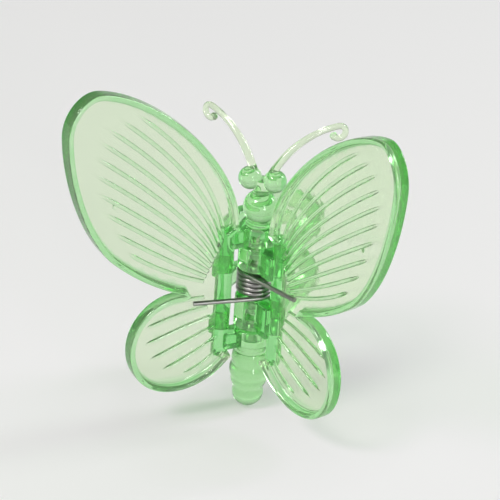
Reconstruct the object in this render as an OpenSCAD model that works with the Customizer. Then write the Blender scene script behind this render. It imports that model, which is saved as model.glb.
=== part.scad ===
// Butterfly clip that ties a plant stem to its stake.
// Two moulded halves turn on a steel pin, and a torsion spring closes their curved prongs.
// The origin is the middle of the closed grip. +Z runs along the stem towards the head,
// and the wings open in a V towards -Y.

/* [Grip] */
// Radius of the round space that the closed prongs hold
grip_r = 5; // [4:0.1:7]
// Space between the held bundle and the hinge knuckles
hinge_gap = 1; // [0.5:0.05:2]
// Width of one prong along the stem
prong_w = 2.6; // [2:0.1:3.2]
// Thickness of a prong, half way round
prong_t = 1.5; // [1.2:0.1:2]
// How much thicker a prong's root is than its middle
prong_taper = 0.45; // [0.2:0.05:0.6]
// Space between neighbouring prongs, along the stem
prong_gap = 0.4; // [0.3:0.05:0.8]
// Distance between the two prongs of one half, centre to centre
prong_pitch = 8.2; // [7:0.1:10]
// Angle that a prong reaches round the grip, from the side that faces the hinge
prong_end = 208; // [195:1:220]
// Angle at which a prong's root meets the round grip
prong_start = 75; // [65:1:85]

/* [Wings] */
// Angle of each wing's chord, forward of the flat
wing_raise = 41; // [34:1:46]
// Radius of the wings' hollow across the span
camber_r = 70; // [60:1:120]
// Thickness of the wing sheet
sheet_t = 0.8; // [0.6:0.05:1.2]
// Height of the edge lip over the sheet
lip_h = 1; // [0.6:0.1:1.5]
// Width of the edge lip
lip_w = 0.8; // [0.6:0.05:1.2]
// Height of the ribs over the sheet
rib_h = 0.35; // [0.2:0.05:0.6]
// Width of a rib
rib_w = 0.55; // [0.4:0.05:0.7]
// Number of ribs on a forewing
fore_ribs = 10; // [6:1:12]
// Number of ribs on a hindwing
hind_ribs = 6; // [4:1:7]
// Distance from the hinge axis to the tip of a wing
wing_span = 27.7; // [24:0.1:33]
// Height of the forewing's highest point over the middle of the spring
fore_top = 29.75; // [25:0.05:35]
// Depth of the hindwing's lowest point under the middle of the spring
hind_low = 14.15; // [12.5:0.05:17]

/* [Body] */
// Radius of the four hinge knuckles
knuckle_r = 2.5; // [2.3:0.05:2.9]
// Top of the thorax
thorax_top = 8.25; // [7.75:0.05:10]
// Depth of the tail's end under the middle of the spring
tail_low = 18.35; // [16:0.05:21]
// Radius of the abdomen at its widest
abdomen_r = 2.6; // [2.2:0.05:2.8]
// Radius of the head ball
head_r = 2.25; // [2:0.05:2.8]
// Radius of an eye ball
eye_r = 1.5; // [1.3:0.05:1.8]
// Radius of an antenna
antenna_r = 0.45; // [0.35:0.01:0.55]
// Distance that an antenna reaches sideways and back from its eye
antenna_reach = 7.6; // [6:0.1:10]

/* [Hinge and spring] */
// Radius of the hinge pin
pin_r = 0.8; // [0.6:0.05:1]
// Clearance of the pin in the knuckles that turn on it
pin_clear = 0.06; // [0.03:0.01:0.1]
// Length of the hinge pin
pin_len = 15.8; // [14.6:0.1:16.1]
// Clearance between faces that turn past each other
run_clear = 0.3; // [0.2:0.05:0.4]
// Length of the slot between the inner knuckles, which holds the coil
coil_slot = 4; // [3.9:0.05:4.4]
// Diameter of the spring wire
wire_d = 0.6; // [0.5:0.05:0.65]
// Outside radius of the coil
coil_r = 2.5; // [2.2:0.05:2.7]
// Rise of the coil in each turn
coil_pitch = 1.03; // [1.01:0.01:1.06]
// How far a spring leg stops short of the lip between the two wings
leg_short = 0.3; // [0.2:0.05:2]

/* [Hidden] */
eps = 0.01;
far = 60;
hinge_fn = 64;

// The wings' outline is drawn in the wing's own plane, s out from the hinge axis and z along it,
// between the root, span, top and low drawn here, and stretched to the sizes above.
drawn_root = 3.3;
drawn_span = 27.7;
drawn_root_top = 8.15;
drawn_top = 29.75;
drawn_root_low = 9.85;
drawn_low = 14.15;
root_gap = 0.4;
root_s = max(knuckle_r, abdomen_r) + run_clear + root_gap;
hinge_back = grip_r + hinge_gap + knuckle_r;
root_top = thorax_top - 0.1;
ks = (wing_span - root_s) / (drawn_span - drawn_root);
ku = (fore_top - root_top) / (drawn_top - drawn_root_top);
kd = (hind_low - drawn_root_low) / (drawn_low - drawn_root_low);

function at(s, z) = [
    root_s + (s - drawn_root) * ks,
    z > drawn_root_top ? root_top + (z - drawn_root_top) * ku :
    z < -drawn_root_low ? -drawn_root_low + (z + drawn_root_low) * kd : z
];
function bez(p, t) =
    let (u = 1 - t) u * u * u * p[0] + 3 * u * u * t * p[1] + 3 * u * t * t * p[2] + t * t * t * p[3];
function bez_path(p, n) = [for (i = [0:n - 1]) bez(p, i / n)];
function mix(a, b, t) = a + (b - a) * t;
function unit(v) = v / norm(v);
function turn_left(v) = [-v[1], v[0]];
function reversed(p) = [for (i = [len(p) - 1:-1:0]) p[i]];

// Corner points of the outline's curves
leading_edge = [at(3.3, 8.15), at(3, 17.95), at(15, 28.1), at(22.8, 29.65)];
fore_tip = [at(22.8, 29.65), at(25.2, 30.13), at(27.9, 27.6), at(27.7, 24.35)];
outer_edge = [at(27.7, 24.35), at(27.4, 18.75), at(24.9, 10.9), at(20.7, 6.4)];
trailing_edge = [at(20.7, 6.4), at(16.7, 2.7), at(13, 0.85), at(9.8, -0.3)];
hind_top = [at(9.8, -0.3), at(14, 0.25), at(17.6, -3.45), at(17.4, -7.45)];
hind_outer = [at(17.4, -7.45), at(17.2, -11.45), at(14.4, -14.15), at(10.6, -14.15)];
hind_inner = [at(10.6, -14.15), at(7.4, -14.15), at(4.7, -12.05), at(3.3, -9.85)];

outline = concat(
    bez_path(leading_edge, 12), bez_path(fore_tip, 6), bez_path(outer_edge, 10), bez_path(trailing_edge, 6),
    bez_path(hind_top, 8), bez_path(hind_outer, 6), bez_path(hind_inner, 6), [hind_inner[3]]
);

// Points moved to the right of their path, which is towards the inside of the clockwise outline
function inset(path, d) = [
    for (i = [0:len(path) - 1])
        let (
            before = path[max(i - 1, 0)],
            after = path[min(i + 1, len(path) - 1)]
        )
        path[i] - turn_left(unit(after - before)) * d
];

// Middle line of rib number i of n, from the wing's root towards its edge
fore_rib_roots = [at(5, 7.15), at(7.4, 1.15)];
fore_rib_bends = [at(6.8, 17.6), at(13.2, 3)];
fore_rib_ends = [at(18.2, 26.1), at(26.8, 27), at(25.2, 16.6), at(18.2, 7)];
hind_rib_roots = [at(7.2, -1.2), at(4.6, -8.45)];
hind_rib_bends = [at(11.6, -1.1), at(5.9, -10.85)];
hind_rib_ends = [at(14, -2.4), at(16.6, -5.65), at(15.6, -11.65), at(9.6, -12.25)];
rib_steps = 7;
function rib_line(roots, bends, ends, i, n) =
    let (
        w = n > 1 ? i / (n - 1) : 0,
        a = mix(roots[0], roots[1], w),
        b = mix(bends[0], bends[1], w),
        c = bez(ends, w)
    )
    [for (k = [0:rib_steps]) let (t = k / rib_steps, u = 1 - t) u * u * a + 2 * u * t * b + t * t * c];

// Where the wings' middle surface lies over the chord at a distance s from the hinge
chord_mid = (wing_span + root_s) / 2;
camber_back = sqrt(camber_r * camber_r - pow((wing_span - root_s) / 2, 2));
function camber(s) = camber_back - sqrt(camber_r * camber_r - pow(s - chord_mid, 2));

// Heights along the hinge
ear_in = coil_slot / 2;
top_knuckle = 2.6;
ear_upper = thorax_top - top_knuckle - run_clear;
ear_lower = 6.35;
foot_low = -8.9;
prong_step = prong_w + prong_gap;
pin_cover = 0.9;
pin_top = thorax_top - pin_cover;

// The spring's path, in the frame of the hinge
wire_r = wire_d / 2;
wind_r = coil_r - wire_r;
leg_gap = 0.12;
leg_len = trailing_edge[3][0] - lip_w - leg_short;
touch_h = camber(leg_len) + sheet_t / 2 + rib_h + wire_r + leg_gap;
leg_lean = acos(touch_h / norm([wind_r, leg_len])) - atan(leg_len / wind_r);
leg_at = -90 + wing_raise - leg_lean;
whole_turns = 3;
coil_turns = whole_turns - 2 * (wing_raise - leg_lean) / 360;
coil_rise = coil_turns * coil_pitch;
coil_rings = round(8 * coil_turns);
coil_line = [
    for (i = [0:coil_rings])
        let (f = i / coil_rings, a = leg_at + f * coil_turns * 360)
        [wind_r * cos(a), wind_r * sin(a), (f - 0.5) * coil_rise]
];
leg_way = [sin(leg_at), -cos(leg_at), 0];
leg_rings = 3;
left_leg = [
    for (i = [leg_rings:-1:1])
        coil_line[0] + leg_way * leg_len * i / leg_rings
];
right_leg = [
    for (i = [1:leg_rings])
        coil_line[coil_rings] + [-leg_way[0], leg_way[1], 0] * leg_len * i / leg_rings
];
spring_line = concat(left_leg, coil_line, right_leg);

// Least gap between the wire and itself, over points more than half a turn apart
spring_gap = min([
    for (i = [0:len(coil_line) - 1])
        for (j = [i + 5:1:len(coil_line) - 1])
            norm(coil_line[i] - coil_line[j]) - wire_d
]);
echo(spring_gap = spring_gap);

// Tube of six sides swept along a line of points whose rings stay square to the line
sides = 6;
function way(p, i) = unit(p[min(i + 1, len(p) - 1)] - p[max(i - 1, 0)]);
function ring(c, d) =
    let (u = unit(cross(d, [0, 0, 1])), v = cross(u, d))
    [for (k = [0:sides - 1]) c + wire_r * (cos(360 * k / sides) * u + sin(360 * k / sides) * v)];
module tube(line) {
    n = len(line);
    rings = [for (i = [0:n - 1]) each ring(line[i], way(line, i))];
    walls = [
        for (i = [0:n - 2])
            for (k = [0:sides - 1])
                let (a = i * sides + k, b = i * sides + (k + 1) % sides)
                each [[a, b, b + sides], [a, b + sides, a + sides]]
    ];
    caps = concat(
        [for (k = [1:sides - 2]) [0, k + 1, k]],
        [for (k = [1:sides - 2]) [0, k, k + 1] + [1, 1, 1] * (n - 1) * sides]
    );
    polyhedron(points = rings, faces = concat(walls, caps));
}

// Places children in a left wing's frame: X out along the chord, Y forward from it, Z along the hinge
module wing_frame() {
    translate([0, -hinge_back, 0])
        rotate([0, 0, 180 + wing_raise])
            children();
}

// Part of the wing's curved shell, from low to high over its middle surface, cut to a flat outline
module wing_skin(low, high) {
    intersection() {
        translate([chord_mid, camber_back, -far])
            linear_extrude(height = 2 * far)
                difference() {
                    circle(r = camber_r - low, $fn = 360);
                    circle(r = camber_r - high, $fn = 360);
                }
        translate([0, 12, 0])
            rotate([90, 0, 0])
                linear_extrude(height = 20)
                    children();
    }
}

module rib(line) {
    polygon(concat(inset(line, rib_w / 2), reversed(inset(line, -rib_w / 2))));
}

// Round moulding mark on the outer face of a forewing
mark_at = at(20, 13.75);
mark_r = 0.45;
mark_h = 0.2;

module wing() {
    wing_frame() {
        wing_skin(-sheet_t / 2 - mark_h, 0)
            translate(mark_at)
                circle(r = mark_r, $fn = 24);
        wing_skin(-sheet_t / 2, sheet_t / 2)
            polygon(outline);
        wing_skin(-sheet_t / 2, sheet_t / 2 + lip_h)
            polygon(concat(outline, reversed(inset(outline, lip_w))));
        wing_skin(0, sheet_t / 2 + rib_h) {
            for (i = [0:fore_ribs - 1])
                rib(rib_line(fore_rib_roots, fore_rib_bends, fore_rib_ends, i, fore_ribs));
            for (i = [0:hind_ribs - 1])
                rib(rib_line(hind_rib_roots, hind_rib_bends, hind_rib_ends, i, hind_ribs));
        }
    }
}

// Thick bar along a left wing's root, clear of the knuckles that turn inside it
bar_low = -drawn_root_low - 0.25;
bar_r = 1.15;
bar_s = root_s + bar_r;
bar_back = 0.5;
module root_bar() {
    wing_frame()
        translate([bar_s, -bar_back, bar_low])
            cylinder(r = bar_r, h = thorax_top - bar_low, $fn = hinge_fn);
}

// Knuckle of a left half, with its web to the root bar
web_t = 2.6;
module knuckle(low, high, bore_r) {
    difference() {
        wing_frame()
            translate([0, 0, low])
                linear_extrude(height = high - low) {
                    circle(r = knuckle_r, $fn = hinge_fn);
                    translate([0, -web_t / 2])
                        square([bar_s, web_t]);
                }
        pin_bore(low - 1, high + 1, bore_r);
    }
}

module pin_bore(low, high, r) {
    translate([0, -hinge_back, low])
        cylinder(r = r, h = high - low, $fn = hinge_fn);
}

// Window in a knuckle's front, through which the pin shows
window_w = 1.3;
window_h = 1;
module window(z) {
    translate([-window_w / 2, -hinge_back - knuckle_r - 1, z - window_h / 2])
        cube([window_w, knuckle_r + 1, window_h]);
}

// Prong of a left half: root blend, round grip wall and rounded tip, drawn across the stem
outer_r = grip_r + prong_t;
function round_grip(a, r) = [-r * sin(a), -r * cos(a)];
function start_way(a) = [-cos(a), sin(a)];
root_reach = 2.2;
inner_end = round_grip(prong_start, grip_r + eps);
outer_end = round_grip(prong_start, grip_r + prong_t + prong_taper);
function in_clip(s, n) = [
    n * sin(wing_raise) - s * cos(wing_raise), -hinge_back - n * cos(wing_raise) - s * sin(wing_raise)
];
foot_len = 2;
inner_root = in_clip(root_s + root_gap / 2, camber(root_s) - sheet_t / 2);
outer_root = in_clip(bar_s + foot_len, camber(bar_s + foot_len));
inner_curve = [inner_root, inner_root + [0, 2.7], inner_end - start_way(prong_start) * root_reach, inner_end];
outer_curve = [outer_root, outer_root + [0.5, 4], outer_end - start_way(prong_start) * root_reach, outer_end];
bar_mid = in_clip(bar_s, 0);
module prong_section() {
    difference() {
        intersection() {
            translate(round_grip(60, prong_taper))
                circle(r = outer_r, $fn = 180);
            polygon(concat(
                [[0, 0]],
                [for (a = [prong_start - 4:4:prong_end]) round_grip(a, 2 * grip_r)],
                [round_grip(prong_end, 2 * grip_r)]
            ));
        }
        circle(r = grip_r, $fn = 180);
    }
    difference() {
        polygon(concat(
            [bar_mid], bez_path(inner_curve, 8), [inner_end, outer_end], reversed(bez_path(outer_curve, 8))
        ));
        circle(r = grip_r, $fn = 180);
    }
}

// Outline of a prong seen from behind: level at the root and drawn in to a rounded tip
tip_w = 1.5;
tip_x = -grip_r * sin(prong_end);
module prong_outline() {
    upper = [
        [-grip_r * 0.6, prong_w / 2], [0, prong_w / 2], [tip_x - 0.6, tip_w / 2 + 0.2], [tip_x + 0.5, 0]
    ];
    edge = concat([[-4 * grip_r, prong_w / 2]], bez_path(upper, 10), [[tip_x + 0.5, 0]]);
    polygon(concat(edge, reversed([for (p = edge) [p[0], -p[1]]])));
}

module prong(z) {
    translate([0, 0, z])
        intersection() {
            translate([0, 0, -prong_w / 2])
                linear_extrude(height = prong_w)
                    prong_section();
            translate([0, 3 * grip_r, 0])
                rotate([90, 0, 0])
                    linear_extrude(height = 8 * grip_r)
                        prong_outline();
        }
}

// Everything that a left half and a mirrored right half share
module half(prong_mid) {
    wing();
    root_bar();
    prong(prong_mid + prong_pitch / 2);
    prong(prong_mid - prong_pitch / 2);
}

// Abdomen, turned about the hinge line: out of the foot knuckle it swells to its widest over
// shallow rings, then rounds off to a blunt point
foot_top = -ear_lower - run_clear;
abdomen_top = foot_top - 0.4;
abdomen_neck = abdomen_r * 0.85;
abdomen_end = abdomen_r * 2.05;
widest_z = -tail_low + abdomen_end;
ring_n = 3;
ring_depth = 0.12;
function swell(f) =
    mix(abdomen_neck, abdomen_r, (1 - cos(180 * f * f)) / 2) - ring_depth * (1 - cos(360 * ring_n * f)) / 2;
module abdomen() {
    steps = 24;
    end_steps = 12;
    translate([0, -hinge_back, 0])
        rotate_extrude($fn = hinge_fn)
            polygon(concat(
                [[0, abdomen_top]],
                [for (i = [0:steps]) [swell(i / steps), mix(abdomen_top, widest_z, i / steps)]],
                [for (i = [1:end_steps - 1])
                    let (a = 90 * i / end_steps) [abdomen_r * cos(a), widest_z - abdomen_end * sin(a)]],
                [[0, -tail_low]]
            ));
}

// Head: neck, head ball, two eye balls and the core behind them
head_y = -0.3;
head_rise = 0.2;
head_z = thorax_top + head_r + head_rise;
eye_x = 1.6;
eye_y = -0.1;
eye_z = head_z + head_r + eye_r * 1.05;
neck_r = 1.7;
module head() {
    translate([0, -hinge_back + head_y, 0]) {
        translate([0, 0, thorax_top - 0.5])
            cylinder(r = neck_r, h = 1.6, $fn = hinge_fn);
        translate([0, 0, head_z])
            sphere(r = head_r, $fn = hinge_fn);
        translate([0, eye_y / 2, head_z])
            cylinder(r = 1.1, h = eye_z - head_z, $fn = hinge_fn);
        for (side = [-1, 1])
            translate([side * eye_x, eye_y, eye_z])
                sphere(r = eye_r, $fn = hinge_fn);
    }
    for (side = [0, 1])
        mirror([side, 0, 0])
            antenna();
}

// Antenna: one long arc up, out and back from the eye, and a small hook at its tip
antenna_swing = 33;
antenna_start = 62;
antenna_finish = 12;
hook_hollow = 0.4;
hook_r = antenna_r + hook_hollow;
hook_angle = 235;
antenna_arc_r = antenna_reach / (sin(antenna_start) - sin(antenna_finish));
module antenna() {
    translate([eye_x * 0.75, -hinge_back + head_y + eye_y, eye_z + eye_r * 0.7])
        rotate([0, 0, antenna_swing])
            rotate([90, 0, 0]) {
                translate([antenna_arc_r * sin(antenna_start), -antenna_arc_r * cos(antenna_start), 0])
                    arc_rod(antenna_arc_r, 90 + antenna_finish, 90 + antenna_start);
                translate([
                    antenna_arc_r * (sin(antenna_start) - sin(antenna_finish)) + hook_r * sin(antenna_finish),
                    antenna_arc_r * (cos(antenna_finish) - cos(antenna_start)) - hook_r * cos(antenna_finish),
                    0
                ]) {
                    arc_rod(hook_r, 90 + antenna_finish - hook_angle, 90 + antenna_finish);
                    translate(hook_r * [cos(90 + antenna_finish), sin(90 + antenna_finish), 0])
                        sphere(r = antenna_r * 1.08, $fn = 32);
                    translate(hook_r * [
                        cos(90 + antenna_finish - hook_angle), sin(90 + antenna_finish - hook_angle), 0
                    ])
                        sphere(r = antenna_r * 1.15, $fn = 32);
                }
                sphere(r = antenna_r, $fn = 32);
            }
}

// Round rod bent to an arc about the origin, between two angles
module arc_rod(r, from, to) {
    rotate([0, 0, from])
        rotate_extrude(angle = to - from, $fn = 96)
            translate([r, 0])
                circle(r = antenna_r, $fn = 32);
}

module left_half() {
    color([0.72, 0.93, 0.7, 0.6]) {
        difference() {
            union() {
                half(-prong_step / 2);
                knuckle(ear_upper + run_clear, thorax_top, pin_r);
                knuckle(foot_low, foot_top, pin_r);
                abdomen();
                head();
            }
            pin_bore(ear_upper, pin_top, pin_r);
            pin_bore(pin_top - pin_len, foot_top + 1, pin_r);
            window((ear_upper + run_clear + thorax_top) / 2);
        }
    }
}

module right_half() {
    color([0.66, 0.9, 0.64, 0.6])
        difference() {
            mirror([1, 0, 0]) {
                half(prong_step / 2);
                knuckle(ear_in, ear_upper, pin_r + pin_clear);
                knuckle(-ear_lower, -ear_in, pin_r + pin_clear);
            }
            window((ear_in + ear_upper) / 2);
            window(-(ear_in + ear_lower) / 2);
        }
}

module torsion_spring() {
    color("silver")
        translate([0, -hinge_back, 0])
            tube(spring_line);
}

// Pin with its two ends turned down to a blunt nose
pin_nose = 0.3;
module hinge_pin() {
    color("dimgray")
        translate([0, -hinge_back, pin_top - pin_len / 2])
            rotate_extrude($fn = hinge_fn)
                polygon([
                    [0, -pin_len / 2], [pin_r - pin_nose, -pin_len / 2], [pin_r, -pin_len / 2 + pin_nose],
                    [pin_r, pin_len / 2 - pin_nose], [pin_r - pin_nose, pin_len / 2], [0, pin_len / 2]
                ]);
}

left_half();
right_half();
torsion_spring();
hinge_pin();
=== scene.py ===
import math

import bmesh
import bpy
from mathutils import Matrix, Vector
from mathutils.bvhtree import BVHTree


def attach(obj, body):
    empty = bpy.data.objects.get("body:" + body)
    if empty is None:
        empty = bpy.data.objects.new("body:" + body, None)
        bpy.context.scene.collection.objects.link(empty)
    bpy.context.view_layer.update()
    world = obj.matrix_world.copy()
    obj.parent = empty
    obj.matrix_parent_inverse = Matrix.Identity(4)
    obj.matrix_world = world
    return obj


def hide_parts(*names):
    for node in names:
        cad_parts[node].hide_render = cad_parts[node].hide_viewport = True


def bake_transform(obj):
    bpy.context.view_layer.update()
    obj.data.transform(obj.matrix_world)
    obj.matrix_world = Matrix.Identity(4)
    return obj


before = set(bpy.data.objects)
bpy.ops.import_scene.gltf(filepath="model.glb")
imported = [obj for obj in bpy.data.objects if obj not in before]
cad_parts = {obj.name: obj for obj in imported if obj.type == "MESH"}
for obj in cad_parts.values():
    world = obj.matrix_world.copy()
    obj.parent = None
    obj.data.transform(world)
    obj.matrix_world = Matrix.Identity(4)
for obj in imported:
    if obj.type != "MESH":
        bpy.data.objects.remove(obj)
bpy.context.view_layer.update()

# Butterfly clip for a plant stem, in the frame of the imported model.
# The mouldings are worked out in millimetres and made metres when they are finished.

MM = 0.001
TURN = 2 * math.pi

# Sizes repeated from the part's source
GRIP_R = 5.0
HINGE_BACK = 8.5
PRONG_W = 2.6
PRONG_T = 1.5
PRONG_TAPER = 0.45
PRONG_START = 75
PRONG_END = 208
PRONG_STEP = 3.0
PRONG_PITCH = 8.2
WING_RAISE = 41
CAMBER_R = 70.0
CHORD_MID = 15.5
CAMBER_BACK = math.sqrt(CAMBER_R ** 2 - 12.2 ** 2)
SHEET_T = 0.8
LIP_H = 1.0
LIP_W = 0.8
RIB_H = 0.35
KNUCKLE_R = 2.5
THORAX_TOP = 8.25
EAR_IN = 2.0
EAR_UPPER = 5.35
EAR_LOWER = 6.35
RUN_CLEAR = 0.3
FOOT_TOP = -EAR_LOWER - RUN_CLEAR
FOOT_LOW = -8.9
ROOT_S = 3.3
ROOT_GAP = 0.4
BAR_LOW = -10.1
BAR_R = 1.15
BAR_S = 4.45
BAR_BACK = 0.5
WEB_T = 2.6
PIN_R = 0.8
PIN_CLEAR = 0.06
PIN_TOP = 7.35
PIN_LEN = 15.8
TAIL_LOW = 18.35
TAIL_R = 2.05
ABDOMEN_R = 2.6
RING_N = 3
HEAD_R = 2.25
HEAD_RISE = 0.2
HEAD_Y = -0.3
NECK_R = 1.7
EYE_R = 1.5
EYE_X = 1.6
EYE_Y = -0.1
ANTENNA_R = 0.45
ANTENNA_REACH = 7.6
ANTENNA_SWING = 33
ANTENNA_START = 62
ANTENNA_FINISH = 12
HOOK_R = 0.85
HOOK_ANGLE = 235
WIRE_R = 0.3
WIND_R = 2.2
LEG_LEN = 8.7
LEG_GAP = 0.12

# Details that only the looks have
RING_DEPTH = 0.24
RING_SHARP = 7
WIDEST_RISE = 3.4
WAIST_RISE = 0.77
SHEET_INSET = 0.34
EDGE_R = 0.28
CLAW_CORNER = 0.45
CLAW_TIP_W = 1.7
CLAW_NARROWS = 5.5
CLAW_THINS = 0.6
SPRING_TURNS = 5
SPRING_PITCH = 0.63
SHARP_EDGE = math.radians(38)
FINE_SIDES = 96
PIN_EDGE = 0.26
END_EASE = 0.03
PRESS_EASE = 0.02

# Walls that show the palest and the deepest colour, and the round parts' share of that depth
THIN_WALL = 0.95
THICK_WALL = 3.2
ROUND_SHARE = 0.5

# Corner points of the outline's curves, out from the hinge and along it
LEADING_EDGE = ((3.3, 8.15), (3, 17.95), (15, 28.1), (22.8, 29.65))
FORE_TIP = ((22.8, 29.65), (25.2, 30.13), (27.9, 27.6), (27.7, 24.35))
OUTER_EDGE = ((27.7, 24.35), (27.4, 18.75), (24.9, 10.9), (20.7, 6.4))
TRAILING_EDGE = ((20.7, 6.4), (16.7, 2.7), (13, 0.85), (9.8, -0.3))
HIND_TOP = ((9.8, -0.3), (14, 0.25), (17.6, -3.45), (17.4, -7.45))
HIND_OUTER = ((17.4, -7.45), (17.2, -11.45), (14.4, -14.15), (10.6, -14.15))
HIND_INNER = ((10.6, -14.15), (7.4, -14.15), (4.7, -12.05), (3.3, -9.85))


# Node trees

class Value:
    """One socket of a node tree, which takes part in sums as a number does."""

    def __init__(self, tree, end):
        self.tree = tree
        self.end = end

    def sum_node(self, operation, *values):
        return self.tree.add("ShaderNodeMath", {"operation": operation}, dict(enumerate(values)))

    def __add__(self, other):
        return self.sum_node("ADD", self, other)

    def __radd__(self, other):
        return self.sum_node("ADD", other, self)

    def __sub__(self, other):
        return self.sum_node("SUBTRACT", self, other)

    def __rsub__(self, other):
        return self.sum_node("SUBTRACT", other, self)

    def __mul__(self, other):
        return self.sum_node("MULTIPLY", self, other)

    def __rmul__(self, other):
        return self.sum_node("MULTIPLY", other, self)

    def __truediv__(self, other):
        return self.sum_node("DIVIDE", self, other)

    def __pow__(self, other):
        return self.sum_node("POWER", self, other)

    def least(self, other):
        return self.sum_node("MINIMUM", self, other)

    def most(self, other):
        return self.sum_node("MAXIMUM", self, other)

    def sine(self):
        return self.sum_node("SINE", self)

    def cosine(self):
        return self.sum_node("COSINE", self)

    def root(self):
        return self.sum_node("SQRT", self)


class Tree:
    """A node tree, with one method that adds any node."""

    def __init__(self, tree):
        self.tree = tree
        tree.nodes.clear()

    def add(self, kind, settings=None, values=None, out=0):
        node = self.tree.nodes.new(kind)
        for key, setting in (settings or {}).items():
            if key == "stops":
                ramp = node.color_ramp
                while len(ramp.elements) < len(setting):
                    ramp.elements.new(0.5)
                for element, (place, shade) in zip(ramp.elements, setting):
                    element.position = place
                    element.color = (shade, shade, shade, 1)
            else:
                setattr(node, key, setting)
        for key, value in (values or {}).items():
            if isinstance(value, Value):
                self.tree.links.new(value.end, node.inputs[key])
            else:
                node.inputs[key].default_value = value
        return Value(self, node.outputs[out]) if len(node.outputs) else node

    def parts(self, vector):
        split = self.add("ShaderNodeSeparateXYZ", values={0: vector}).end.node
        return [Value(self, end) for end in split.outputs]

    def join(self, x, y, z):
        return self.add("ShaderNodeCombineXYZ", values={0: x, 1: y, 2: z})


SOCKETS = {float: "NodeSocketFloat", int: "NodeSocketInt", tuple: "NodeSocketVector"}


class Pattern:
    """A geometry tree with named inputs, which makes one plain mesh."""

    def __init__(self, name, sizes):
        self.group = bpy.data.node_groups.new(name, "GeometryNodeTree")
        self.tree = Tree(self.group)
        self.sizes = sizes
        for key, size in sizes.items():
            self.group.interface.new_socket(key, in_out="INPUT", socket_type=SOCKETS[type(size)])
        self.group.interface.new_socket("Material", in_out="INPUT", socket_type="NodeSocketMaterial")
        self.group.interface.new_socket("Geometry", in_out="OUTPUT", socket_type="NodeSocketGeometry")
        self.inputs = self.group.nodes.new("NodeGroupInput")

    def size(self, name):
        return Value(self.tree, self.inputs.outputs[name])

    def close(self, geometry):
        plain = self.tree.add("GeometryNodeRealizeInstances", values={"Geometry": geometry})
        painted = self.tree.add(
            "GeometryNodeSetMaterial", values={"Geometry": plain, "Material": self.size("Material")}
        )
        self.tree.add("NodeGroupOutput", values={0: painted})

    def make(self, name, material, **changed):
        holder = bpy.data.objects.new(name + "_pattern", bpy.data.meshes.new(name + "_pattern"))
        bpy.context.scene.collection.objects.link(holder)
        modifier = holder.modifiers.new("Pattern", "NODES")
        modifier.node_group = self.group
        for item in self.group.interface.items_tree:
            if item.in_out == "INPUT":
                key = item.name
                modifier[item.identifier] = material if key == "Material" else changed.get(
                    key.replace(" ", "_").lower(), self.sizes[key]
                )
        mesh = bpy.data.meshes.new_from_object(
            holder.evaluated_get(bpy.context.evaluated_depsgraph_get())
        )
        mesh.name = name
        bpy.data.objects.remove(holder)
        return bpy.data.objects.new(name, mesh)


# Meshes

def linked(obj):
    bpy.context.scene.collection.objects.link(obj)
    return obj


def solid(name, points, faces):
    """Closed mesh whose faces are turned outwards."""
    mesh = bpy.data.meshes.new(name)
    mesh.from_pydata([tuple(p) for p in points], [], faces)
    form = bmesh.new()
    form.from_mesh(mesh)
    bmesh.ops.remove_doubles(form, verts=form.verts, dist=1e-5)
    bmesh.ops.recalc_face_normals(form, faces=form.faces)
    form.to_mesh(mesh)
    form.free()
    return linked(bpy.data.objects.new(name, mesh))


def loft(name, rings):
    """Solid through rings of equal count, with a flat cap on each end."""
    count = len(rings[0])
    points = [p for ring in rings for p in ring]
    faces = [
        (i * count + k, i * count + (k + 1) % count, (i + 1) * count + (k + 1) % count, (i + 1) * count + k)
        for i in range(len(rings) - 1)
        for k in range(count)
    ]
    last = (len(rings) - 1) * count
    faces.append(tuple(reversed(range(count))))
    faces.append(tuple(range(last, last + count)))
    return solid(name, points, faces)


def lathe(name, profile, centre=(0, -HINGE_BACK), sides=72):
    """Solid turned about a line along Z from (radius, height) pairs, the first and last on the line."""
    points = [(centre[0], centre[1], profile[0][1])]
    for r, z in profile[1:-1]:
        for k in range(sides):
            a = TURN * k / sides
            points.append((centre[0] + r * math.cos(a), centre[1] + r * math.sin(a), z))
    points.append((centre[0], centre[1], profile[-1][1]))
    rows = len(profile) - 2
    last = len(points) - 1
    faces = [(0, 1 + (k + 1) % sides, 1 + k) for k in range(sides)]
    for i in range(rows - 1):
        for k in range(sides):
            a = 1 + i * sides + k
            b = 1 + i * sides + (k + 1) % sides
            faces.append((a, b, b + sides, a + sides))
    row = 1 + (rows - 1) * sides
    faces += [(row + k, row + (k + 1) % sides, last) for k in range(sides)]
    return solid(name, points, faces)


def arc(centre, r, start, finish, steps):
    """Points on an arc from one angle to another, in degrees."""
    return [
        (
            centre[0] + r * math.cos(math.radians(start + (finish - start) * i / steps)),
            centre[1] + r * math.sin(math.radians(start + (finish - start) * i / steps)),
        )
        for i in range(steps + 1)
    ]


def barrel(low, high, r, edge):
    """Profile of a round bar whose two edges are rounded."""
    return (
        [(0, low)] + arc((r - edge, low + edge), edge, -90, 0, 6)
        + arc((r - edge, high - edge), edge, 0, 90, 6) + [(0, high)]
    )


def ball(name, centre, r):
    """Round ball with its poles along Z."""
    profile = [(0, centre[2] - r)] + [
        (r * math.cos(math.radians(a)), centre[2] + r * math.sin(math.radians(a)))
        for a in range(-86, 87, 4)
    ] + [(0, centre[2] + r)]
    return lathe(name, profile, centre=centre[:2], sides=64)


def rod(name, line, radii, sides=20):
    """Round rod along a line, thinner or thicker as its radii say."""
    rings = []
    side = Vector((0, 0, 1))
    for i, point in enumerate(line):
        ahead = (line[min(i + 1, len(line) - 1)] - line[max(i - 1, 0)]).normalized()
        side = (side - ahead * side.dot(ahead)).normalized()
        up = ahead.cross(side)
        rings.append([
            point + radii[i] * (math.cos(TURN * k / sides) * side + math.sin(TURN * k / sides) * up)
            for k in range(sides)
        ])
    return loft(name, rings)


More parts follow.
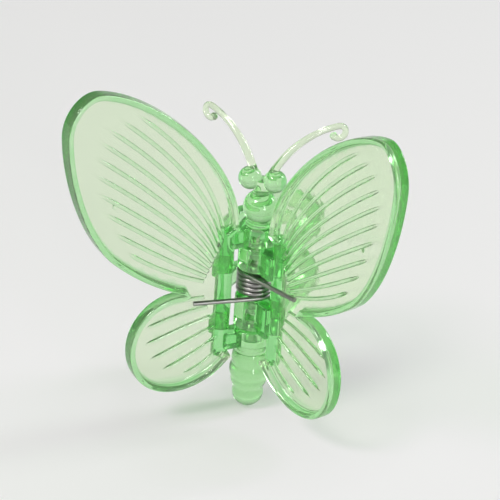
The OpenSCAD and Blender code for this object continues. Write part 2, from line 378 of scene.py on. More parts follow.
def moved_over(obj):
    """The solid itself, put on the other side of X = 0."""
    obj.data.transform(Matrix.Scale(-1, 4, (1, 0, 0)))
    obj.data.flip_normals()
    return obj


def mirrored(obj, name):
    """Copy of a solid on the other side of X = 0."""
    return moved_over(linked(bpy.data.objects.new(name, obj.data.copy())))


def fuse(name, parts, cuts=()):
    """One closed solid from parts that overlap, less the cuts."""
    base = parts[0]
    for operation, others in (("UNION", parts[1:]), ("DIFFERENCE", cuts)):
        for other in others:
            join = base.modifiers.new(other.name, "BOOLEAN")
            join.operation = operation
            join.solver = "MANIFOLD"
            join.object = other
    mesh = bpy.data.meshes.new_from_object(base.evaluated_get(bpy.context.evaluated_depsgraph_get()))
    mesh.name = name
    for other in (*parts, *cuts):
        bpy.data.objects.remove(other)
    mesh.transform(Matrix.Scale(MM, 4))
    mesh.polygons.foreach_set("use_smooth", [True] * len(mesh.polygons))
    mesh.set_sharp_from_angle(angle=SHARP_EDGE)
    whole = linked(bpy.data.objects.new(name, mesh))
    even = whole.modifiers.new("Even normals", "WEIGHTED_NORMAL")
    even.keep_sharp = True
    return whole


# Wings

def bezier(points, t):
    u = 1 - t
    return tuple(
        u * u * u * a + 3 * u * u * t * b + 3 * u * t * t * c + t * t * t * d
        for a, b, c, d in zip(*points)
    )


def bezier_line(points, steps):
    return [bezier(points, i / steps) for i in range(steps)]


def on_wing(s, h, z):
    """Place at a distance s from the hinge, over the wing's middle surface by h, in the clip's frame."""
    lean = math.asin((s - CHORD_MID) / CAMBER_R)
    x = CHORD_MID + (CAMBER_R - h) * math.sin(lean)
    y = CAMBER_BACK - (CAMBER_R - h) * math.cos(lean)
    return wing_place(x, y, z)


def wing_place(x, y, z):
    turn = math.radians(180 + WING_RAISE)
    return Vector((
        x * math.cos(turn) - y * math.sin(turn), x * math.sin(turn) + y * math.cos(turn) - HINGE_BACK, z
    ))


def wing_outline(fine=1):
    """Left wing's outline from the root's top round to its foot, clockwise."""
    line = []
    for points, steps in (
        (LEADING_EDGE, 34), (FORE_TIP, 14), (OUTER_EDGE, 22), (TRAILING_EDGE, 14),
        (HIND_TOP, 16), (HIND_OUTER, 14), (HIND_INNER, 14),
    ):
        line += bezier_line(points, int(steps * fine))
    line.append(HIND_INNER[-1])
    return line


def inward(line, i):
    """Direction into the wing, square to its outline."""
    before = Vector(line[max(i - 1, 0)])
    after = Vector(line[min(i + 1, len(line) - 1)])
    way = (after - before).normalized()
    return Vector((way.y, -way.x))


def wing_sheet():
    """Thin curved sheet inside the edge lip."""
    root_inset = 0.5
    line = wing_outline()
    inside = [Vector(p) + inward(line, i) * SHEET_INSET for i, p in enumerate(line)]
    inside += [Vector((BAR_S, line[-1][1] + root_inset)), Vector((BAR_S, line[0][1] - root_inset))]
    form = bmesh.new()
    low = [form.verts.new((p.x, -SHEET_T / 2, p.y)) for p in inside]
    high = [form.verts.new((p.x, SHEET_T / 2, p.y)) for p in inside]
    form.faces.new(low)
    form.faces.new(list(reversed(high)))
    for i in range(len(inside)):
        j = (i + 1) % len(inside)
        form.faces.new((low[j], low[i], high[i], high[j]))
    for axis, start, step, count in (((1, 0, 0), 3.6, 0.5, 49), ((0, 0, 1), -13.5, 1.2, 36)):
        for k in range(count):
            place = Vector(axis) * (start + step * k)
            bmesh.ops.bisect_plane(
                form, geom=form.verts[:] + form.edges[:] + form.faces[:], plane_co=place, plane_no=axis
            )
    for vert in form.verts:
        vert.co = on_wing(vert.co.x, vert.co.y, vert.co.z)
    bmesh.ops.recalc_face_normals(form, faces=form.faces)
    mesh = bpy.data.meshes.new("sheet")
    form.to_mesh(mesh)
    form.free()
    return linked(bpy.data.objects.new("sheet", mesh))


def wing_lip():
    """Rounded rim along the wing's edge, with a soft foot where it meets the sheet."""
    edge = 0.3
    outer_edge = 0.36
    foot = 0.4
    below_sheet = 0.004
    low = -SHEET_T / 2 - below_sheet
    high = SHEET_T / 2 + LIP_H
    section = (
        arc((edge, low + edge), edge, 270, 180, 5)
        + arc((outer_edge, high - outer_edge), outer_edge, 180, 90, 6)
        + arc((LIP_W - edge, high - edge), edge, 90, 0, 5)
        + arc((LIP_W + foot, SHEET_T / 2 + foot), foot, 180, 262, 5)
        + [(LIP_W + 0.3, 0.0), (0.6, -0.15)]
    )
    line = wing_outline(2)
    line = [(BAR_S, line[0][1] - 0.9)] + line + [(BAR_S, line[-1][1] + 0.7)]
    rings = []
    for i, (s, z) in enumerate(line):
        side = inward(line, i)
        rings.append([on_wing(s + side.x * a, h, z + side.y * a) for a, h in section])
    return loft("lip", rings)


def rib_pattern():
    """Ribs that fan out over the wing: each runs on a curve between the first rib and the last."""
    pattern = Pattern("Wing ribs", {
        "Count": 10, "Rib Radius": 0.28, "Rise": 0.47,
        "First Root": (5.0, 7.15, 0.0), "Last Root": (7.4, 1.15, 0.0),
        "First Bend": (6.8, 17.6, 0.0), "Last Bend": (13.2, 3.0, 0.0),
        "End A": (18.2, 26.1, 0.0), "End B": (26.8, 27.0, 0.0),
        "End C": (25.2, 16.6, 0.0), "End D": (18.2, 7.0, 0.0),
        "Camber Radius": CAMBER_R, "Chord Middle": CHORD_MID,
    })
    tree = pattern.tree
    count = pattern.size("Count")
    seeds = tree.add("GeometryNodePoints", values={"Count": count})
    index = tree.add("GeometryNodeInputIndex")
    seeds = tree.add(
        "GeometryNodeStoreNamedAttribute", {"data_type": "FLOAT"},
        {"Geometry": seeds, "Name": "fan", "Value": index / (count - 1)},
    )
    strand = tree.add("GeometryNodeCurvePrimitiveLine", values={"End": (1.0, 0.0, 0.0)})
    strand = tree.add("GeometryNodeResampleCurve", values={"Curve": strand, "Count": 33})
    strands = tree.add("GeometryNodeInstanceOnPoints", values={"Points": seeds, "Instance": strand})
    strands = tree.add("GeometryNodeRealizeInstances", values={"Geometry": strands})
    w = tree.add("GeometryNodeInputNamedAttribute", {"data_type": "FLOAT"}, {"Name": "fan"})
    t = tree.add("GeometryNodeSplineParameter")
    root_a, root_b, bend_a, bend_b, end_a, end_b, end_c, end_d = (
        tree.parts(pattern.size(name)) for name in (
            "First Root", "Last Root", "First Bend", "Last Bend", "End A", "End B", "End C", "End D"
        )
    )

    def place(axis):
        near = root_a[axis] + (root_b[axis] - root_a[axis]) * w
        middle = bend_a[axis] + (bend_b[axis] - bend_a[axis]) * w
        u = 1 - w
        edge = (
            u * u * u * end_a[axis] + 3 * u * u * w * end_b[axis]
            + 3 * u * w * w * end_c[axis] + w * w * w * end_d[axis]
        )
        v = 1 - t
        return v * v * near + 2 * v * t * middle + t * t * edge

    camber_r = pattern.size("Camber Radius")
    chord_mid = pattern.size("Chord Middle")
    lean = (place(0) - chord_mid) / camber_r
    fade = ((1 - t) * 7).least(1)
    reach = camber_r - pattern.size("Rise") + (1 - fade) * 0.3
    across = tree.join(
        chord_mid + reach * lean, CAMBER_BACK - reach * (1 - lean * lean).root(), place(1)
    )
    lines = tree.add("GeometryNodeSetPosition", values={"Geometry": strands, "Position": across})
    ring = tree.add(
        "GeometryNodeCurvePrimitiveCircle", values={"Resolution": 14, "Radius": pattern.size("Rib Radius")}
    )
    ribs = tree.add("GeometryNodeCurveToMesh", values={
        "Curve": lines, "Profile Curve": ring, "Fill Caps": True, "Scale": fade * 0.45 + 0.55,
    })
    pattern.close(ribs)
    return pattern


def in_wing(obj):
    """Takes a solid drawn in the wing's own frame to its place on the clip."""
    obj.data.transform(
        Matrix.Translation((0, -HINGE_BACK, 0)) @ Matrix.Rotation(math.radians(180 + WING_RAISE), 4, "Z")
    )
    form = bmesh.new()
    form.from_mesh(obj.data)
    bmesh.ops.remove_doubles(form, verts=form.verts, dist=1e-5)
    bmesh.ops.recalc_face_normals(form, faces=form.faces)
    form.to_mesh(obj.data)
    form.free()
    return linked(obj)


def wing_parts(plastic):
    """Left wing's overlapping solids: sheet, lip, two fans of ribs, root bar and a small moulded mark."""
    bar_edge = 0.45
    mark_r = 0.45
    mark_h = 0.2
    mark_out = 0.13
    mark_s = 20
    mark_z = 13.75
    ribs = rib_pattern()
    fore = ribs.make("fore_ribs", plastic)
    hind = ribs.make(
        "hind_ribs", plastic, count=6, first_root=(7.2, -1.2, 0.0), last_root=(4.6, -8.45, 0.0),
        first_bend=(11.6, -1.1, 0.0), last_bend=(5.9, -10.85, 0.0), end_a=(14.0, -2.4, 0.0),
        end_b=(16.6, -5.65, 0.0), end_c=(15.6, -11.65, 0.0), end_d=(9.6, -12.25, 0.0),
    )
    bar_at = wing_place(BAR_S, -BAR_BACK, 0)
    bar = lathe("bar", barrel(BAR_LOW, THORAX_TOP, BAR_R, bar_edge), centre=(bar_at.x, bar_at.y), sides=48)
    mark = ball("mark", (0, 0, 0), 1.0)
    mark.data.transform(Matrix.Diagonal((mark_r, mark_h, mark_r, 1)))
    mark.data.transform(Matrix.Translation((mark_s, -SHEET_T / 2 - mark_out, mark_z)))
    bpy.context.scene.collection.objects.unlink(mark)
    return [wing_sheet(), wing_lip(), in_wing(fore), in_wing(hind), bar, in_wing(mark)]


# Hinge knuckles, body and prongs

def knuckle(name, low, high):
    return lathe(name, barrel(low, high, KNUCKLE_R, EDGE_R), sides=FINE_SIDES)


def web(name, low, high):
    """Block with rounded edges between a knuckle and the root bar."""
    edge = 0.27
    ease = 0.02
    form = bmesh.new()
    bmesh.ops.create_cube(form, size=1)
    bmesh.ops.scale(form, vec=(BAR_S, WEB_T, high - low - ease), verts=form.verts)
    bmesh.ops.translate(form, vec=(BAR_S / 2, 0, (low + high) / 2), verts=form.verts)
    bmesh.ops.bevel(form, geom=form.edges[:], offset=edge, segments=5, profile=0.5, affect="EDGES")
    mesh = bpy.data.meshes.new(name)
    form.to_mesh(mesh)
    form.free()
    return in_wing(bpy.data.objects.new(name, mesh))


def round_grip(a, r):
    """Place on a circle round the grip's axis, from the back towards the left."""
    a = math.radians(a)
    return Vector((-r * math.sin(a), -r * math.cos(a)))


def outer_wall(a):
    """Distance from the grip's axis to a prong's outer wall, whose circle is off centre."""
    taper_towards = 60
    off = round_grip(taper_towards, PRONG_TAPER)
    way = round_grip(a, 1)
    along = off.dot(way)
    r = GRIP_R + PRONG_T
    return along + math.sqrt(r * r - off.length_squared + along * along)


def section_ring(inner, outer, width, z, corner):
    """Rounded rectangle between an inner and an outer point, across the stem."""
    roundest = 0.45
    thick = (outer - inner).length
    way = (outer - inner).normalized()
    corner = min(corner, thick * roundest, width * roundest)
    half = width / 2
    flat = (
        arc((thick - corner, half - corner), corner, 90, 0, 6)
        + arc((thick - corner, corner - half), corner, 0, -90, 6)
        + arc((corner, corner - half), corner, -90, -180, 6)
        + arc((corner, half - corner), corner, 180, 90, 6)
    )
    return [Vector((inner.x + way.x * a, inner.y + way.y * a, z + b)) for a, b in flat]


def prong(name, z):
    """Curved claw: a broad root under the wing, the round grip wall and a rounded tip."""
    run_in = 2.2
    root_steps = 12
    inner_sunk = 0.45
    outer_sunk = 0.3
    start = round_grip(PRONG_START, GRIP_R)
    start_out = round_grip(PRONG_START, outer_wall(PRONG_START))
    way = Vector((-math.cos(math.radians(PRONG_START)), math.sin(math.radians(PRONG_START)))) * run_in
    inner_root = on_wing(ROOT_S + ROOT_GAP / 2, -SHEET_T / 2, 0).xy
    outer_root = on_wing(BAR_S + 2, 0, 0).xy
    inner = (inner_root, inner_root + Vector((0, 2.7)), start - way, start)
    outer = (outer_root, outer_root + Vector((0.5, 4)), start_out - way, start_out)
    into_wing = wing_place(0, 1, 0).xy - wing_place(0, 0, 0).xy
    near = inner_root + into_wing * inner_sunk
    far = outer_root + into_wing * outer_sunk
    rings = [section_ring(near, far, PRONG_W, z, CLAW_CORNER)]
    for i in range(root_steps):
        near = Vector(bezier([tuple(p) for p in inner], i / root_steps))
        far = Vector(bezier([tuple(p) for p in outer], i / root_steps))
        rings.append(section_ring(near, far, PRONG_W, z, CLAW_CORNER))
    steps = 56
    tip_from = 0.8
    tip_share = 0.2
    length = math.radians(PRONG_END - PRONG_START) * (GRIP_R + 0.6)
    for i in range(steps + 1):
        f = i / steps
        if f > tip_from:
            f = tip_from + tip_share * math.sin((f - tip_from) / tip_share * math.pi / 2)
        a = PRONG_START + (PRONG_END - PRONG_START) * f
        left = length * (1 - f)
        narrow = min(1, left / CLAW_NARROWS)
        width = CLAW_TIP_W + (PRONG_W - CLAW_TIP_W) * narrow * narrow * (3 - 2 * narrow)
        nose = width / 2
        if left < nose:
            width *= math.sqrt(max(0.02, 1 - (1 - left / nose) ** 2))
        thin = 1 if left > CLAW_THINS else math.sqrt(max(0.02, 1 - (1 - left / CLAW_THINS) ** 2))
        near = round_grip(a, GRIP_R)
        far = round_grip(a, outer_wall(a))
        middle = (near + far) / 2
        near = middle + (near - middle) * thin
        far = middle + (far - middle) * thin
        rings.append(section_ring(near, far, width, z, CLAW_CORNER))
    return loft(name, rings)


def abdomen():
    """Body below the foot knuckle: it swells over shallow rings, narrows to a waist and ends in a ball."""
    sunk = 0.4
    neck_share = 0.85
    narrowing = 2.2
    top = FOOT_TOP - sunk
    neck = ABDOMEN_R * neck_share
    mid = -TAIL_LOW + TAIL_R
    widest = mid + WIDEST_RISE
    waist_z = mid + WAIST_RISE
    waist_r = math.sqrt(TAIL_R ** 2 - (waist_z - mid) ** 2)
    line = []
    steps = 72
    for i in range(steps):
        f = i / steps
        r = neck + (ABDOMEN_R - neck) * (1 - math.cos(math.pi * f * f)) / 2
        groove = RING_DEPTH * abs(math.sin(math.pi * RING_N * f)) ** RING_SHARP
        line.append((r - groove, top + (widest - top) * f))
    steps = 40
    for i in range(steps):
        f = i / steps
        r = waist_r + (ABDOMEN_R - waist_r) * (1 - f ** narrowing)
        groove = RING_DEPTH * (1 - f) * math.sin(math.pi * min(f / 0.8, 1)) ** RING_SHARP
        line.append((r - groove, widest + (waist_z - widest) * f))
    line += [
        (TAIL_R * math.cos(math.radians(a)), mid + TAIL_R * math.sin(math.radians(a)))
        for a in range(22, -88, -3)
    ]
    reach = 3
    ball_points = 24
    ball_from = len(line) - ball_points
    soft = [
        (sum(point[0] for point in line[i - reach:i + reach + 1]) / (2 * reach + 1), line[i][1])
        for i in range(reach, ball_from)
    ]
    profile = [(0, top)] + line[:reach] + soft + line[ball_from:] + [(0, -TAIL_LOW)]
    return lathe("abdomen", profile, sides=FINE_SIDES)


HEAD_Z = THORAX_TOP + HEAD_R + HEAD_RISE
EYE_Z = HEAD_Z + HEAD_R + EYE_R * 1.05


def antenna():
    """One long arc up, out and back from the left eye, thinner towards the small hook at its tip."""
    big = ANTENNA_REACH / (math.sin(math.radians(ANTENNA_START)) - math.sin(math.radians(ANTENNA_FINISH)))
    step = 0.22
    tighter = 2.4
    finest = 0.16
    slope = ANTENNA_START
    points = [Vector((0, 0))]
    while slope > ANTENNA_FINISH:
        slope -= math.degrees(step / big)
        a = math.radians(slope)
        points.append(points[-1] + Vector((math.cos(a), math.sin(a))) * step)
    finish = slope - HOOK_ANGLE
    curl = big
    while slope > finish:
        curl = max(HOOK_R, curl - tighter)
        pace = min(step, curl * finest)
        slope -= math.degrees(pace / curl)
        a = math.radians(slope)
        points.append(points[-1] + Vector((math.cos(a), math.sin(a))) * pace)
    out_share = 0.75
    up_share = 0.7
    base = Vector((-EYE_X * out_share, -HINGE_BACK + HEAD_Y + EYE_Y, EYE_Z + EYE_R * up_share))
    swing = math.radians(ANTENNA_SWING)
    line = [
        base + Vector((-p.x * math.cos(swing), p.x * math.sin(swing), p.y))
        for p in points
    ]
    line.insert(0, line[0] * 2 - line[3])
    last = len(line) - 1
    root_share = 1.25
    thinning = 0.35
    radii = [ANTENNA_R * (root_share - thinning * min(1, i / last * 2)) for i in range(len(line))]
    stem = rod("antenna", line, radii)
    tip_share = 1.12
    tip = ball("antenna_tip", tuple(line[-1]), ANTENNA_R * tip_share)
    return [stem, tip]


def head():
    """Neck, head ball, eyes and both antennae."""
    y = -HINGE_BACK + HEAD_Y
    neck = [(0, THORAX_TOP - 0.5), (NECK_R, THORAX_TOP - 0.5)]
    neck += arc((NECK_R + 0.5, THORAX_TOP + 0.55), 0.5, 215, 132, 6)
    ball_part = [
        (HEAD_R * math.cos(math.radians(a)), HEAD_Z + HEAD_R * math.sin(math.radians(a)))
        for a in range(-38, 88, 4)
    ]
    core = [(0, HEAD_Z), (1.1, HEAD_Z), (1.1, EYE_Z), (0, EYE_Z)]
    parts = [
        lathe("neck", neck + ball_part + [(0, HEAD_Z + HEAD_R)], centre=(0, y)),
        lathe("core", core, centre=(0, y + EYE_Y / 2), sides=48),
    ]
    for side in (-1, 1):
        parts.append(ball("eye", (side * EYE_X, y + EYE_Y, EYE_Z), EYE_R))
    left = antenna()
    return parts + left + [mirrored(part, "right_" + part.name) for part in left]


def bore(low, high, r):
    """Cut for the pin."""
    return lathe("bore", [(0, low), (r, low), (r, high), (0, high)], sides=64)


def window(z):
    """Cut through a knuckle's outer wall that shows the pin."""
    wide = 1.3
    tall = 1.0
    edge = 0.2
    form = bmesh.new()
    bmesh.ops.create_cube(form, size=1)
    bmesh.ops.scale(form, vec=(wide, KNUCKLE_R + 1, tall), verts=form.verts)
    bmesh.ops.translate(form, vec=(0, -HINGE_BACK - (KNUCKLE_R + 1) / 2, z), verts=form.verts)
    upright = [e for e in form.edges if abs(e.verts[0].co.y - e.verts[1].co.y) > 1]
    bmesh.ops.bevel(form, geom=upright, offset=edge, segments=4, profile=0.5, affect="EDGES")
    mesh = bpy.data.meshes.new("window")
    form.to_mesh(mesh)
    form.free()
    return linked(bpy.data.objects.new("window", mesh))


# Finishes

def finish(name):
    """New material, its tree and the coordinates of the piece it is on."""
    material = bpy.data.materials.new(name)
    material.use_nodes = True
    tree = Tree(material.node_tree)
    place = tree.add("ShaderNodeTexCoord", out="Object")
    return material, tree, place


def noise(tree, place, scale, detail=2.0, roughness=0.5):
    return tree.add("ShaderNodeTexNoise", {"noise_dimensions": "3D"}, {
        "Vector": place, "Scale": scale, "Detail": detail, "Roughness": roughness,
    })


PALE_TINT = (0.895, 0.975, 0.80, 1)
DEEP_TINT = (0.25, 0.84, 0.27, 1)


def clear_plastic():
    """Pale green moulded plastic: pale in the thin sheet and deep where a wall is thick."""
    material, tree, place = finish("clear_plastic")
    cloud = noise(tree, place, 90.0)
    fine = noise(tree, place, 1400.0, 3.0)
    flow = noise(tree, place, 320.0, 2.0)
    rough = 0.035 + cloud * 0.05 + (fine - 0.5).most(0) * 0.12
    dent = tree.add("ShaderNodeBump", values={
        "Strength": 0.12, "Distance": 0.0004, "Height": flow + fine * 0.06,
    })
    wall = tree.add("ShaderNodeAttribute", {"attribute_name": "wall"}, out="Fac")
    depth = ((wall - THIN_WALL) / (THICK_WALL - THIN_WALL)).most(0).least(1) ** 0.6 + (cloud - 0.5) * 0.1
    depth = depth.most(0).least(1)
    tint = tree.add("ShaderNodeMix", {"data_type": "RGBA"}, {
        0: depth, 6: PALE_TINT, 7: DEEP_TINT,
    }, out=2)
    shader = tree.add("ShaderNodeBsdfPrincipled", values={
        "Base Color": tint, "Roughness": rough, "IOR": 1.53, "Transmission Weight": 0.91,
        "Normal": dent,
    })
    much = tree.add("ShaderNodeBsdfTransparent", values={"Color": (0.94, 0.98, 0.92, 1)})
    little = tree.add("ShaderNodeBsdfTransparent", values={"Color": (0.4, 0.58, 0.4, 1)})
    through = tree.add("ShaderNodeMixShader", values={0: depth, 1: much, 2: little})
    shade = tree.add("ShaderNodeLightPath", out="Is Shadow Ray")
    both = tree.add("ShaderNodeMixShader", values={0: shade, 1: shader, 2: through})
    inside = tree.add("ShaderNodeVolumeAbsorption", values={
        "Color": (0.5, 0.92, 0.4, 1), "Density": 100.0,
    })
    tree.add("ShaderNodeOutputMaterial", values={"Surface": both, "Volume": inside})
    return material


def spring_steel():
    """Drawn wire: fine lines along the wire and a little oil in the turns."""
    material, tree, place = finish("spring_steel")
    along = tree.add("ShaderNodeAttribute", {"attribute_name": "along"}, out="Fac")
    around = tree.add("ShaderNodeAttribute", {"attribute_name": "around"}, out="Fac")
    lines = tree.join((around * TURN).cosine() * 9, (around * TURN).sine() * 9, along * 1.2)
    drawn = noise(tree, lines, 1.0, 4.0, 0.65)
    cloud = noise(tree, place, 420.0, 3.0)
    shade = 0.22 + drawn * 0.14 + (cloud - 0.5) * 0.1
    colour = tree.add("ShaderNodeCombineColor", values={0: shade * 1.0, 1: shade * 0.985, 2: shade * 0.95})
    dent = tree.add("ShaderNodeBump", values={"Strength": 0.25, "Distance": 0.00003, "Height": drawn})
    shader = tree.add("ShaderNodeBsdfPrincipled", values={
        "Base Color": colour, "Metallic": 1.0, "Roughness": 0.24 + drawn * 0.14, "Normal": dent,
    })
    tree.add("ShaderNodeOutputMaterial", values={"Surface": shader})
    return material


def pin_steel():
    """Bright pin with faint turned rings."""
    material, tree, place = finish("pin_steel")
    x, y, z = tree.parts(place)
    rings = noise(tree, tree.join(x * 60, y * 60, z * 4200), 1.0, 3.0)
    shade = 0.52 + rings * 0.14
    colour = tree.add("ShaderNodeCombineColor", values={0: shade * 1.0, 1: shade * 0.99, 2: shade * 0.97})
    dent = tree.add("ShaderNodeBump", values={"Strength": 0.2, "Distance": 0.00002, "Height": rings})
    shader = tree.add("ShaderNodeBsdfPrincipled", values={
        "Base Color": colour, "Metallic": 1.0, "Roughness": 0.2 + rings * 0.15, "Normal": dent,
    })
    tree.add("ShaderNodeOutputMaterial", values={"Surface": shader})
    return material


# Spring

def spring_pattern():
    """Wire along a straight leg, the turns of a coil and a second leg, measured along its length."""
    wing_back = CAMBER_BACK - math.sqrt(CAMBER_R ** 2 - (LEG_LEN - CHORD_MID) ** 2)
    touch = wing_back + SHEET_T / 2 + RIB_H + WIRE_R + LEG_GAP
    lean = math.degrees(math.acos(touch / math.hypot(WIND_R, LEG_LEN)) - math.atan(LEG_LEN / WIND_R))
    start = math.radians(-90 + WING_RAISE - lean)
    turns = SPRING_TURNS - 2 * (WING_RAISE - lean) / 360
    pattern = Pattern("Torsion spring", {
        "Wire Radius": WIRE_R, "Wind Radius": WIND_R, "Leg": LEG_LEN, "Turns": turns,
        "Pitch": SPRING_PITCH, "Start": start, "Back": HINGE_BACK,
    })
    tree = pattern.tree
    r = pattern.size("Wind Radius")
    leg = pattern.size("Leg")
    turned = pattern.size("Turns") * TURN
    coil = turned * r
    line = tree.add("GeometryNodeCurvePrimitiveLine", values={"End": (1.0, 0.0, 0.0)})
    line = tree.add("GeometryNodeResampleCurve", values={"Curve": line, "Count": 620})
    gone = tree.add("GeometryNodeSplineParameter") * (coil + leg * 2)
    angle = ((gone - leg) / r).most(0).least(turned)
    at = angle + pattern.size("Start")
    before = (leg - gone).most(0)
    after = (gone - leg - coil).most(0)
    x = r * at.cosine() + (before - after) * at.sine()
    y = r * at.sine() - (before - after) * at.cosine() - pattern.size("Back")
    z = (angle / turned - 0.5) * pattern.size("Turns") * pattern.size("Pitch")
    line = tree.add("GeometryNodeStoreNamedAttribute", {"data_type": "FLOAT"}, {
        "Geometry": line, "Name": "along", "Value": gone,
    })
    line = tree.add("GeometryNodeSetPosition", values={"Geometry": line, "Position": tree.join(x, y, z)})
    ring = tree.add("GeometryNodeCurvePrimitiveCircle", values={
        "Resolution": 16, "Radius": pattern.size("Wire Radius"),
    })
    ring = tree.add("GeometryNodeStoreNamedAttribute", {"data_type": "FLOAT"}, {
        "Geometry": ring, "Name": "around", "Value": tree.add("GeometryNodeSplineParameter"),
    })
    wire = tree.add("GeometryNodeCurveToMesh", values={
        "Curve": line, "Profile Curve": ring, "Fill Caps": True,
    })
    pattern.close(wire)
    return pattern


def smooth(obj):
    obj.data.polygons.foreach_set("use_smooth", [True] * len(obj.data.polygons))
    obj.data.set_sharp_from_angle(angle=SHARP_EDGE)
    return obj


def measure_walls(obj, side):
    """Stores each face corner's wall depth in mm: straight in, or through the wing if that is more."""
    mesh = obj.data
    tree = BVHTree.FromPolygons([v.co for v in mesh.vertices], [p.vertices for p in mesh.polygons])
    hinge = Vector((0, -HINGE_BACK, 0)) * MM
    mirror = Vector((-side, 1, 1))
    out = (wing_place(1, 0, 0) - wing_place(0, 0, 0)) * mirror
    up = (wing_place(0, 1, 0) - wing_place(0, 0, 0)) * mirror
    wing_from = 5
    wing_fade = 3
    off_corner = 0.04
    under_skin = 2e-5
    under_wing_skin = 1e-4
    walls = [0.0] * len(mesh.loops)
    normals = mesh.corner_normals
    for face in mesh.polygons:
        centre = face.center
        round_part = abs(centre.x) < ABDOMEN_R * MM and not FOOT_LOW * MM < centre.z < THORAX_TOP * MM
        share = ROUND_SHARE if round_part and centre.y < (ABDOMEN_R - HINGE_BACK) * MM else 1
        wing_share = min(1, max(0, ((centre - hinge).dot(out) / MM - wing_from) / wing_fade))
        for i in face.loop_indices:
            way = -normals[i].vector
            start = mesh.vertices[mesh.loops[i].vertex_index].co.lerp(centre, off_corner)
            depth = tree.ray_cast(start + way * under_skin, way)[3] or 0.0
            if wing_share > 0:
                inside = start + way * under_wing_skin
                through = sum(tree.ray_cast(inside, ray)[3] or 0.0 for ray in (up, -up))
                depth = max(depth, through * wing_share)
            walls[i] = min(depth / MM, THICK_WALL) * share
    mesh.attributes.new("wall", "FLOAT", "CORNER").data.foreach_set("value", walls)


# The clip

plastic = clear_plastic()

left_parts = wing_parts(plastic)
right_wing = [mirrored(part, "right_" + part.name) for part in left_parts]
left_parts += [
    prong("low_prong", -PRONG_STEP / 2 - PRONG_PITCH / 2),
    prong("high_prong", -PRONG_STEP / 2 + PRONG_PITCH / 2),
    knuckle("top_knuckle", EAR_UPPER + RUN_CLEAR, THORAX_TOP),
    web("top_web", EAR_UPPER + RUN_CLEAR, THORAX_TOP),
    knuckle("foot_knuckle", FOOT_LOW, FOOT_TOP),
    web("foot_web", FOOT_LOW, FOOT_TOP),
    abdomen(),
] + head()
left_cuts = [
    bore(EAR_UPPER, PIN_TOP + END_EASE, PIN_R + PRESS_EASE),
    bore(PIN_TOP - PIN_LEN - END_EASE, -EAR_LOWER, PIN_R + PRESS_EASE),
    window((EAR_UPPER + RUN_CLEAR + THORAX_TOP) / 2),
]
left_half = fuse("moulded_left_half", left_parts, left_cuts)

right_parts = right_wing + [
    moved_over(prong("low_prong", PRONG_STEP / 2 - PRONG_PITCH / 2)),
    moved_over(prong("high_prong", PRONG_STEP / 2 + PRONG_PITCH / 2)),
    knuckle("upper_ear", EAR_IN, EAR_UPPER),
    moved_over(web("upper_web", EAR_IN, EAR_UPPER)),
    knuckle("lower_ear", -EAR_LOWER, -EAR_IN),
    moved_over(web("lower_web", -EAR_LOWER, -EAR_IN)),
]
right_cuts = [
    bore(EAR_IN - 1, EAR_UPPER + 1, PIN_R + PIN_CLEAR),
    bore(-EAR_LOWER - 1, -EAR_IN + 1, PIN_R + PIN_CLEAR),
    window((EAR_IN + EAR_UPPER) / 2),
    window(-(EAR_IN + EAR_LOWER) / 2),
]
right_half = fuse("moulded_right_half", right_parts, right_cuts)

for half, node, body, side in (
    (left_half, "left_half", "left", -1), (right_half, "right_half", "right", 1),
):
    measure_walls(half, side)
    half.data.materials.clear()
    half.data.materials.append(plastic)
    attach(half, body)
    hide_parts(node)

spring = linked(smooth(spring_pattern().make("wound_spring", spring_steel())))
spring.data.transform(Matrix.Scale(MM, 4))
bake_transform(spring)
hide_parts("torsion_spring")

pin = smooth(lathe("turned_pin", barrel(PIN_TOP - PIN_LEN, PIN_TOP, PIN_R, PIN_EDGE), sides=FINE_SIDES))
pin.data.transform(Matrix.Scale(MM, 4))
pin.data.materials.append(pin_steel())
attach(pin, "left")
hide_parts("hinge_pin")


# Stage, lamps and camera

PALE = (0.97, 0.97, 0.965, 1)


def stage_floor():
    """Pale floor with the clip's shadow and a painted shade round its foot; it fades into the background
    far off.
    """
    shade = 0.88
    # Reach and glow share of the painted shade round the clip's foot
    painted_shade_reach = 0.024
    glow_in_painted_shade = 0.12
    near_glow = 0.33
    far_glow = 0.55
    far_from = 0.16
    far_fade = 0.5
    material, tree, place = finish("pale_floor")
    tone = noise(tree, place, 30.0)
    grey = shade + (tone - 0.5) * 0.02
    colour = tree.add("ShaderNodeCombineColor", values={0: grey, 1: grey, 2: grey * 0.985})
    shader = tree.add("ShaderNodeBsdfPrincipled", values={"Base Color": colour, "Roughness": 0.7})
    camera, glossy, clear = (
        tree.add("ShaderNodeLightPath", out=ray)
        for ray in ("Is Camera Ray", "Is Glossy Ray", "Is Transmission Ray")
    )
    x, y = tree.parts(place)[:2]
    back = y + HINGE_BACK * MM
    away = (x * x + back * back).root()
    # Painted shade: within this reach of the foot less of the white glow is mixed in, so the floor darkens
    # round the clip's foot
    out_of_painted_shade = (away / painted_shade_reach).least(1)
    distant = ((away - far_from) / far_fade).most(0).least(1)
    glow = (camera + glossy + clear).least(1) * (glow_in_painted_shade + out_of_painted_shade * near_glow)
    white = tree.add("ShaderNodeEmission", values={"Color": PALE, "Strength": 1.0})
    both = tree.add("ShaderNodeMixShader", values={
        0: glow + camera * distant * far_glow, 1: shader, 2: white,
    })
    tree.add("ShaderNodeOutputMaterial", values={"Surface": both})
    gap = 0.0002
    low = -TAIL_LOW * MM - gap
    wide = 2
    mesh = bpy.data.meshes.new("floor")
    mesh.from_pydata(
        [(-wide, -wide, low), (wide, -wide, low), (wide, wide, low), (-wide, wide, low)], [], [(0, 1, 2, 3)]
    )
    mesh.materials.append(material)
    floor = linked(bpy.data.objects.new("floor", mesh))


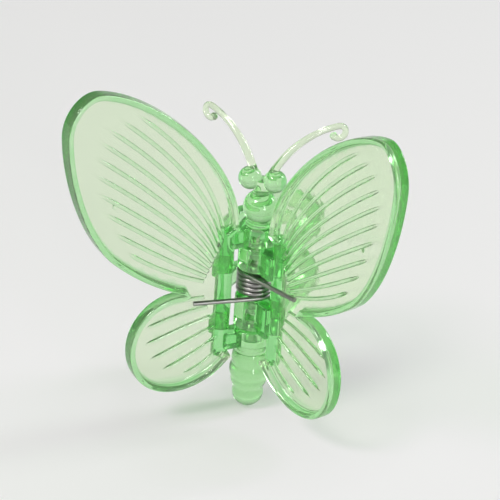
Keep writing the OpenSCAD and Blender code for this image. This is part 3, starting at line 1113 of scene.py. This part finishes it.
def lamp(name, place, aim, size, watts, colour=(1, 1, 1)):
    """Soft rectangular lamp turned towards its aim."""
    light = bpy.data.lights.new(name, "AREA")
    light.shape = "RECTANGLE"
    light.size = size[0]
    light.size_y = size[1]
    light.energy = watts
    light.color = colour
    obj = linked(bpy.data.objects.new(name, light))
    obj.location = place
    obj.rotation_euler = (Vector(aim) - Vector(place)).to_track_quat("-Z", "Y").to_euler()


def light_scene():
    """Soft light from low all round, darker overhead and at the sides, with three lamps."""
    world = bpy.data.worlds.new("studio")
    bpy.context.scene.world = world
    world.use_nodes = True
    tree = Tree(world.node_tree)
    x, y, height = tree.parts(tree.add("ShaderNodeTexCoord", out="Generated"))
    stops = [(0.45, 0.85), (0.6, 0.62), (0.78, 0.22), (0.95, 0.12)]
    rise = tree.add("ShaderNodeValToRGB", {"stops": stops}, {0: height * 0.5 + 0.5})
    side = x * x / (x * x + y * y + 0.001)
    flags = 1 - ((side - 0.6) * 5).most(0).least(1) * 0.7
    sky = tree.add("ShaderNodeBackground", values={"Color": rise, "Strength": flags})
    pale = tree.add("ShaderNodeBackground", values={"Color": PALE, "Strength": 1.0})
    seen = tree.add("ShaderNodeLightPath", out="Is Camera Ray")
    both = tree.add("ShaderNodeMixShader", values={0: seen, 1: sky, 2: pale})
    tree.add("ShaderNodeOutputWorld", values={"Surface": both})
    middle = (0, -0.008, 0.006)
    lamp("key", (-0.22, -0.28, 0.36), middle, (0.13, 0.13), 1.35, (1, 0.985, 0.96))
    lamp("rim", (0.30, 0.22, 0.26), middle, (0.07, 0.24), 0.9, (0.97, 0.985, 1))
    lamp("strip", (0.26, -0.34, 0.10), middle, (0.05, 0.30), 0.6)


def photo_camera():
    """Camera at the angle of the picture on the card, with its slight tilt."""
    right = Vector((0.968, 0.241, 0.065)).normalized()
    back = Vector((0.184, -0.864, 0.469)).normalized()
    up = back.cross(right).normalized()
    right = up.cross(back)
    turn = Matrix((right, up, back)).transposed().to_4x4()
    aim = Vector((-0.0006, -0.0105, 0.0052))
    distance = 0.35
    camera = bpy.data.cameras.new("camera")
    camera.sensor_width = 36
    camera.lens = 200
    camera.clip_start = 0.01
    obj = linked(bpy.data.objects.new("camera", camera))
    obj.matrix_world = Matrix.Translation(aim + back * distance) @ turn
    bpy.context.scene.camera = obj


for spare in ("Cube", "Light", "Camera"):
    if spare in bpy.data.objects:
        bpy.data.objects.remove(bpy.data.objects[spare])
stage_floor()
light_scene()
photo_camera()
bpy.context.scene.view_settings.view_transform = "Standard"
bpy.context.scene.cycles.caustics_refractive = False
bpy.context.scene.cycles.max_bounces = 40
bpy.context.scene.cycles.glossy_bounces = 40
bpy.context.scene.cycles.transmission_bounces = 40
